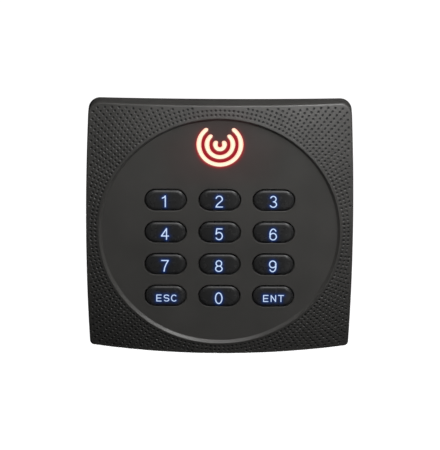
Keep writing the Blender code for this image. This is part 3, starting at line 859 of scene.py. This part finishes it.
def cap_loops(place, surface):
    """The loops of a cap, from its crown over the rim and the flange to the end of its stem."""
    def ring(edge, depth):
        outline = pill(KEY_LENGTH - 2 * edge, KEY_HEIGHT - 2 * edge, place)
        return at_depth(outline, depth)

    turns = [math.radians(90 * i / EDGE_STEPS) for i in range(1, EDGE_STEPS + 1)]
    edges = [RIM_START] + [KEY_EDGE * (1 - math.cos(turn)) for turn in turns]
    loops = [ring(edge, surface) for edge in reversed(edges)]
    loops += [ring(0.0, FLANGE_FRONT), ring(-FLANGE, FLANGE_FRONT), ring(-FLANGE, FLANGE_BACK)]
    loops += [at_depth(pill(*STEM, place), depth) for depth in (FLANGE_BACK, STEM_END)]
    return loops


def crown_spots(place):
    """A grid of points inside the rounding of a cap, which carry the glow of its figure."""
    spots = []
    for i in range(-CROWN_COLUMNS, CROWN_COLUMNS + 1):
        for j in range(-CROWN_ROWS, CROWN_ROWS + 1):
            x, z = i * CROWN_STEP, j * CROWN_STEP
            if cap_edge(x, z) > KEY_EDGE + CROWN_MARGIN:
                spots.append((place[0] + x, place[1] + z))
    return spots


def blue_glow(mesh, name, place):
    """How strongly the painted blue glow of the figure on a cap lights the rubber round it."""
    strokes, width = strokes_of(name)
    plan = plan_of(mesh) - np.array(place)
    away = np.maximum(stroke_distance(plan, strokes) - width / 2, 0)
    front = places_of(mesh)[:, 1] < PANEL_Y
    number(mesh, "blue_glow", np.where(front, BLUE_GLOW * np.exp(-away / BLUE_REACH), 0.0))


def make_cap(name, place, finish):
    """A crowned cap with its flange and stem."""
    def surface(x, z):
        return cap_y(x - place[0], z - place[1])

    skin = Skin()
    loops = cap_loops(place, surface)
    skin.band(*loops)
    skin.face(loops[-1])
    crown = pill(KEY_LENGTH - 2 * KEY_EDGE, KEY_HEIGHT - 2 * KEY_EDGE, place)
    skin.flat([crown], [], crown_spots(place), surface)
    mesh = skin.mesh("cap_" + name)
    blue_glow(mesh, name, place)
    mesh.set_sharp_from_angle(angle=CREASE)
    piece("cap_" + name, mesh, finish, "key_rubber", "button_" + name, "key_" + name)


# Figures on the keys, as strokes in millimetres from the middle of each one
TALL = 1.88  # half of a figure's height
LOW = 1.08  # half of a letter's height
FIGURES = {
    "1": [[(0.12, -TALL), (0.12, TALL)], [(0.12, TALL), (-0.25, 1.42), (-0.85, 1.12)]],
    "2": [oval((0.0, 0.85), 1.0, 1.03, 165, -28) + [(-0.55, -0.95), (-1.03, -TALL), (1.06, -TALL)]],
    "3": [oval((-0.04, 0.95), 0.88, 0.93, 155, -90), oval((-0.04, -0.93), 1.03, 0.95, 90, -155)],
    "4": [[(0.5, -TALL), (0.5, TALL), (-1.15, -0.68), (1.15, -0.68)]],
    "5": [[(0.95, TALL), (-0.72, TALL), (-0.95, 0.05)] + oval((0.0, -0.62), 1.05, 1.26, 140, -150)],
    "6": [oval((0.05, 0.1), 1.05, 1.78, 38, 205), oval((0.02, -0.72), 1.04, 1.16, 0, 360)],
    "7": [[(-1.05, TALL), (1.05, TALL), (0.35, 0.6), (-0.12, -0.7), (-0.3, -TALL)]],
    "8": [oval((0.0, 0.95), 0.9, 0.93, 0, 360), oval((0.0, -0.92), 1.04, 0.96, 0, 360)],
    "9": [oval((-0.05, -0.1), 1.05, 1.78, 218, 385), oval((-0.02, 0.72), 1.04, 1.16, 0, 360)],
    "0": [oval((0.0, 0.0), 1.05, TALL, 0, 360, 48)],
}
LETTERS = {
    "e": [[(0.72, LOW), (-0.72, LOW), (-0.72, -LOW), (0.72, -LOW)], [(-0.72, 0.0), (0.6, 0.0)]],
    "s": [
        oval((0.0, LOW / 2), 0.76, LOW / 2, 25, 270)
        + oval((0.0, -LOW / 2), 0.76, LOW / 2, 90, -155)[1:]
    ],
    "c": [oval((0.0, 0.0), 0.86, LOW, 48, 312)],
    "n": [[(-0.72, -LOW), (-0.72, LOW), (0.72, -LOW), (0.72, LOW)]],
    "t": [[(-0.82, LOW), (0.82, LOW)], [(0.0, LOW), (0.0, -LOW)]],
}
LETTER_PITCH = 2.45
WORD_SHIFTS = {"esc": 0.5, "ent": 0.3}
FIGURE_WIDTH = 0.39
LETTER_WIDTH = 0.32
FIGURE_X = -0.16  # from the middle of the cap to the middle of its figure
FIGURE_Z = (-0.23, -0.42, -0.4, -0.54)  # the same upwards, row by row
FIGURE_STEP = 0.09  # the grid that a figure's outline is traced on
FIGURE_PROUD = 0.02  # how far a figure stands in front of the cap's face
FIGURE_SUNK = 0.06  # how far it reaches in behind it
FIGURE_CORE = 1.25  # the core colour on a stroke's middle line, before it's cut off at 1


def strokes_of(name):
    """The strokes of a key's figure or word, from the middle of the cap, and their width."""
    row = list(KEY_PLACES).index(name) // 3
    if name in FIGURES:
        parts, width = [(0.0, FIGURES[name])], FIGURE_WIDTH
    else:
        starts = [(i - (len(name) - 1) / 2) * LETTER_PITCH for i in range(len(name))]
        parts = [(x + WORD_SHIFTS[name], LETTERS[letter]) for x, letter in zip(starts, name)]
        width = LETTER_WIDTH
    strokes = []
    for shift, group in parts:
        for stroke in group:
            strokes.append([(x + shift + FIGURE_X, z + FIGURE_Z[row]) for x, z in stroke])
    return strokes, width


def clip_cell(corners, levels):
    """The part of a cell where the level is below zero, with no corner twice."""
    outline = []
    for i in range(4):
        j = (i + 1) % 4
        if levels[i] < 0:
            outline.append(corners[i])
        if (levels[i] < 0) != (levels[j] < 0):
            share = levels[i] / (levels[i] - levels[j])
            a, b = corners[i], corners[j]
            outline.append((a[0] + (b[0] - a[0]) * share, a[1] + (b[1] - a[1]) * share))
    return list(dict.fromkeys(plan_key(p) for p in outline))


def figure_cells(strokes, width):
    """Small outlines that together fill the strokes, each from one cell of a grid."""
    reach = np.concatenate([np.array(s) for s in strokes])
    low, high = reach.min(axis=0) - width, reach.max(axis=0) + width
    columns, rows = ((high - low) / FIGURE_STEP).astype(int) + 2
    xs = low[0] + FIGURE_STEP * np.arange(columns)
    zs = low[1] + FIGURE_STEP * np.arange(rows)
    grid = np.array([(x, z) for z in zs for x in xs])
    level = (stroke_distance(grid, strokes) - width / 2).reshape(rows, columns)
    cells = []
    for row in range(rows - 1):
        for column in range(columns - 1):
            spots = [(column, row), (column + 1, row), (column + 1, row + 1), (column, row + 1)]
            corners = [(xs[c], zs[r]) for c, r in spots]
            outline = clip_cell(corners, [level[r, c] for c, r in spots])
            if len(outline) > 2:
                cells.append(outline)
    return cells


def make_figure(name, place, finish):
    """The lit figure on a cap: a thin plate with the strokes' outline."""
    def solid(point, lift):
        x, z = point
        return (place[0] + x, cap_y(x, z) - lift, place[1] + z)

    strokes, width = strokes_of(name)
    skin = Skin()
    sides = {}
    for outline in figure_cells(strokes, width):
        skin.face([solid(p, FIGURE_PROUD) for p in outline])
        skin.face([solid(p, -FIGURE_SUNK) for p in reversed(outline)])
        for a, b in zip(outline, outline[1:] + outline[:1]):
            if sides.pop((b, a), None) is None:
                sides[a, b] = True
    for a, b in sides:
        front = [solid(p, FIGURE_PROUD) for p in (a, b)]
        skin.face(front + [solid(p, -FIGURE_SUNK) for p in (b, a)])
    mesh = skin.mesh("figure_" + name)
    away = stroke_distance(plan_of(mesh) - np.array(place), strokes)
    number(mesh, "core", np.clip(FIGURE_CORE - away / (width / 2), 0, 1))
    mesh.set_sharp_from_angle(angle=CREASE)
    piece("figure_" + name, mesh, finish, "legend_light", "button_" + name)


def make_keys():
    """Every cap with its figure."""
    cap = key_finish()
    lit = lit_finish("key_figures", (0.22, 0.45, 1.0), (0.76, 0.87, 1.0), 0.77)
    for name, place in KEY_PLACES.items():
        make_cap(name, place, cap)
        make_figure(name, place, lit)


# Light guide -------------------------------------------------------------------


def guide_plate():
    """The plate behind the panel."""
    plate = Skin()
    outline = [p for p in circle((0, LIGHT_Z), GUIDE_R, 96) if p[1] < LIGHT_Z + GUIDE_TOP]
    back = GUIDE_FRONT + GUIDE_DEPTH
    plate.flat([outline], [], [], lambda x, z: GUIDE_FRONT)
    plate.flat([outline], [], [], lambda x, z: back)
    plate.band(at_depth(outline, GUIDE_FRONT), at_depth(outline, back))
    return plate.mesh("guide_plate")


def guide_arcs():
    """The three arcs, from inside the plate to just behind the panel's face."""
    arcs = Skin()
    face = PANEL_Y + ARC_SUNK
    root = GUIDE_FRONT + ARC_ROOT
    for radius, opening in zip(ARC_RADII, ARC_OPENINGS):
        whole = open_ring(radius, ARC_WIDTH, opening)
        profile = bend((ARC_ROUND, face), (0.0, face), (0.0, face + ARC_ROUND), 3)
        loops = [at_depth(open_ring(radius, ARC_WIDTH - 2 * e, opening), y) for e, y in profile]
        arcs.band(*loops, at_depth(whole, root))
        inner = [open_ring(radius, ARC_WIDTH * share, opening) for share in ARC_SHADES]
        edge = open_ring(radius, ARC_WIDTH - 2 * ARC_ROUND, opening)
        arcs.flat([edge], inner, [], lambda x, z: face)
        arcs.flat([whole], [], [], lambda x, z: root)
    return arcs.mesh("guide_arcs")


def make_light_guide():
    """The plate and its arcs as one piece, palest along the arcs' middle lines."""
    mesh = joined(guide_plate(), guide_arcs())
    mesh.set_sharp_from_angle(angle=CREASE)
    away = stroke_distance(plan_of(mesh), light_strokes())
    number(mesh, "core", np.clip(ARC_CORE - away / (ARC_WIDTH / 4), 0, 1))
    finish = lit_finish("red_acrylic", (1.0, 0.3, 0.2), (1.0, 0.82, 0.62), 0.97)
    piece("light_guide_with_arcs", mesh, finish, "red_acrylic", "housing", "status_light_guide")


# Pieces that keep their CAD shape ----------------------------------------------

# Colour, roughness, width and depth of the grain, and other settings
LOOKS = {
    "base_plastic": ((0.035, 0.035, 0.034), 0.6, 0.2, 0.02, {}),
    "carbon": ((0.015, 0.015, 0.015), 0.8, 0.1, 0.01, {}),
    "silicone": ((0.5, 0.52, 0.53), 0.45, 0.4, 0.01, {}),
    "led_resin": ((0.85, 0.8, 0.6), 0.25, 0.2, 0.004, {}),
    "circuit_board": ((0.01, 0.1, 0.04), 0.35, 0.6, 0.01, {"drift": 0.25}),
    "copper_wire": ((0.6, 0.25, 0.1), 0.35, 0.2, 0.03, {"Metallic": 0.9}),
    "chip_resin": ((0.02, 0.02, 0.02), 0.6, 0.12, 0.01, {}),
    "tinned_steel": ((0.7, 0.7, 0.7), 0.3, 0.3, 0.004, {"Metallic": 1.0}),
    "capacitor_can": ((0.75, 0.75, 0.77), 0.28, 0.3, 0.004, {"Metallic": 1.0}),
    "header_nylon": ((0.8, 0.78, 0.7), 0.5, 0.3, 0.01, {}),
    "black_rubber": ((0.02, 0.02, 0.02), 0.75, 0.25, 0.02, {}),
    "plate_steel": (
        (0.55, 0.56, 0.58), 0.42, 0.35, 0.006,
        {"drift": 0.06, "stretch": (0.15, 1.0, 1.0), "Metallic": 1.0},
    ),
    "brass": ((0.7, 0.5, 0.2), 0.3, 0.2, 0.004, {"Metallic": 1.0}),
    "screw_steel": ((0.6, 0.6, 0.62), 0.3, 0.15, 0.004, {"Metallic": 1.0}),
}


def dress_nodes():
    """Gives every CAD node that shows its own material."""
    looks = {name: worked(name, *look, **more) for name, (*look, more) in LOOKS.items()}
    for part in frame["record"]["subparts"]:
        found = looks.get(part["material_slot"])
        if found:
            mesh = NODES[part["node"]].data
            mesh.materials.clear()
            mesh.materials.append(found.material)


# Studio ------------------------------------------------------------------------

FLOOR_LEVEL = -600.0
FLOOR_REACH = 4000.0
BACKDROP_R = 4.0  # in metres
PAPER_GLOW = 1.1
AIR_STRENGTH = 0.024

# Where each softbox stands, what it looks at, its size and its power in watts
SOFTBOXES = {
    "near_softbox": ((0.145, -0.121, 0.195), (0.0, 0.0, 0.02), (0.12, 0.12), 0.43),
    "upper_softbox": ((0.077, -0.264, 0.317), (0.0, 0.0, 0.0), (0.26, 0.26), 0.52),
    "close_softbox": ((0.019, -0.121, 0.141), (0.0, 0.0, 0.0), (0.2, 0.2), 0.245),
    "strip_softbox": ((0.383, -0.907, 0.18), (0.0, 0.0, 0.0), (0.05, 0.2), 0.85),
    "lap_softbox": ((0.13, -0.48, -0.24), (0.03, 0.0, 0.0), (0.1, 0.1), 0.05),
    "rear_softbox": ((0.0, 0.9, -0.6), (0.0, 0.0, 0.0), (0.6, 0.6), 15.0),
}

# The camera's angles in degrees, and what it looks at, from the middle of the lip's plane
CAMERA_ELEVATION = 21.8
CAMERA_DISTANCE = 1.278
CAMERA_ROLL = 0.27
CAMERA_LENS = 317.8
AIM_UP = 0.0024
AIM_RIGHT = 0.00014


def softbox(name, place, aim, size, power):
    """A plain white area light that the camera doesn't see."""
    light = bpy.data.lights.new(name, "AREA")
    light.shape = "RECTANGLE"
    light.size, light.size_y = size
    light.energy = power
    made = bpy.data.objects.new(name, light)
    made.location = place
    made.rotation_euler = (Vector(aim) - Vector(place)).to_track_quat("-Z", "Y").to_euler()
    made.visible_camera = False
    bpy.context.scene.collection.objects.link(made)


def backdrop_finish():
    """Pale, evenly lit paper."""
    made = Finish("studio_paper", Roughness=0.9)
    shade = made.mix(made.noise(90.0), (0.97, 0.97, 0.97, 1), (1, 1, 1, 1))
    made.put(made.shader.inputs["Base Color"], shade)
    made.put(made.shader.inputs["Emission Color"], shade)
    made.shader.inputs["Emission Strength"].default_value = PAPER_GLOW
    return made.material


def make_floor(finish):
    """A pale floor and a wide backdrop. They are seen, but light comes from the softboxes."""
    floor = Skin()
    corners = ((-1, -1), (1, -1), (1, 1), (-1, 1))
    floor.face([(x * FLOOR_REACH, y * FLOOR_REACH, FLOOR_LEVEL) for x, y in corners])
    made = loose("floor", floor.mesh("floor"))
    dome = bpy.data.meshes.new("backdrop")
    work = bmesh.new()
    bmesh.ops.create_icosphere(work, subdivisions=4, radius=BACKDROP_R)
    work.to_mesh(dome)
    work.free()
    sky = loose("backdrop", dome)
    for stage in (made, sky):
        stage.data.materials.append(finish)
        stage.visible_diffuse = False
        stage.visible_glossy = False
        stage.visible_transmission = False
        stage.visible_shadow = False


def make_light():
    """Faint even light from all round, and the softboxes."""
    world = bpy.data.worlds.new("studio_air")
    bpy.context.scene.world = world
    world.use_nodes = True
    air = world.node_tree.nodes["Background"]
    air.inputs["Color"].default_value = (0.95, 0.97, 1.0, 1.0)
    air.inputs["Strength"].default_value = AIR_STRENGTH
    for name, settings in SOFTBOXES.items():
        softbox(name, *settings)


def make_camera():
    """Looks down on the recess from straight in front, as the photo does."""
    middle = Vector((0.0, LIP_Y * MM, 0.0))
    elevation = math.radians(CAMERA_ELEVATION)
    away = Vector((0.0, -math.cos(elevation), math.sin(elevation)))
    up = Vector((0.0, math.sin(elevation), math.cos(elevation)))
    place = middle + away * CAMERA_DISTANCE
    aim = middle + up * AIM_UP + Vector((AIM_RIGHT, 0.0, 0.0))
    data = bpy.data.cameras.new("camera")
    data.sensor_width = 36.0
    data.lens = CAMERA_LENS
    data.clip_start = 0.01
    data.clip_end = 100.0
    camera = bpy.data.objects.new("camera", data)
    bpy.context.scene.collection.objects.link(camera)
    look = (aim - place).to_track_quat("-Z", "Y").to_matrix().to_4x4()
    roll = Matrix.Rotation(math.radians(CAMERA_ROLL), 4, "Z")
    camera.matrix_world = Matrix.Translation(place) @ look @ roll
    bpy.context.scene.camera = camera


make_cover()
make_keys()
make_light_guide()
dress_nodes()
make_floor(backdrop_finish())
make_light()
make_camera()
bpy.context.scene.view_settings.view_transform = "Standard"
